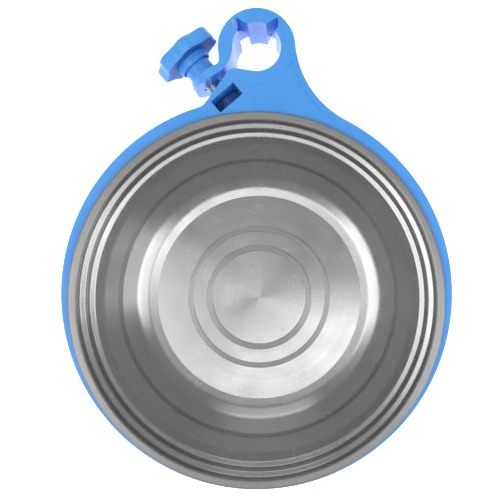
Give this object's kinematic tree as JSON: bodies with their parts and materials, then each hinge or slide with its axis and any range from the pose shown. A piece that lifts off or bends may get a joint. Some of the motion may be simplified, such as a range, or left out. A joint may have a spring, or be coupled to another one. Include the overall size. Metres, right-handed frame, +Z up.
{
  "type": "pole-mounted pet bowl",
  "caption": "Round stainless bowl in a moulded ring holder with a side C-clamp for an upright pole, closed by a star-knob screw.",
  "frame": {"origin": "on the clamp's bore axis, at half the clamp's height", "axes": "+Z up along the bore, bowl towards -Y, knob on the -X side"},
  "size_m": [0.185, 0.2279, 0.0374],
  "materials": {
    "blue_plastic": "moulded, soft gloss",
    "knob_plastic": "moulded, soft gloss",
    "stainless_steel": "polished inside, fine circular brushing on the rim",
    "zinc_steel": "bright zinc plate"
  },
  "bodies": {
    "holder": {"holder": "blue_plastic", "clamp_nut": "zinc_steel"},
    "clamp_arm": {"clamp_arm": "blue_plastic"},
    "washer": {"clamp_washer": "zinc_steel"},
    "knob": {"knob": "knob_plastic", "clamp_screw": "zinc_steel"},
    "bowl": {"bowl": "stainless_steel"}
  },
  "joints": [
    {"name": "arm_flex", "type": "hinge", "parent": "holder", "child": "clamp_arm", "pos_m": [0.01143, 0.01358, 0], "axis": [0, 0, 1], "range_deg": [-1.7, 3.4]},
    {"name": "screw_advance", "type": "slide", "parent": "holder", "child": "washer", "axis": [0.6494, -0.7604, 0], "range_m": [-0.00125, 0.0025]},
    {"name": "knob_turn", "type": "hinge", "parent": "washer", "child": "knob", "pos_m": [-0.01408, -0.02409, 0], "axis": [0.6494, -0.7604, 0], "range_deg": [-360, 720]},
    {"name": "bowl_lift", "type": "slide", "parent": "holder", "child": "bowl", "axis": [0, 0, 1], "range_m": [0, 0.06]}
  ],
  "couplings": [
    {"joint": "knob_turn", "follows": "screw_advance", "rad_per_m": 5026.5},
    {"joint": "arm_flex", "follows": "screw_advance", "rad_per_m": 22.8}
  ]
}
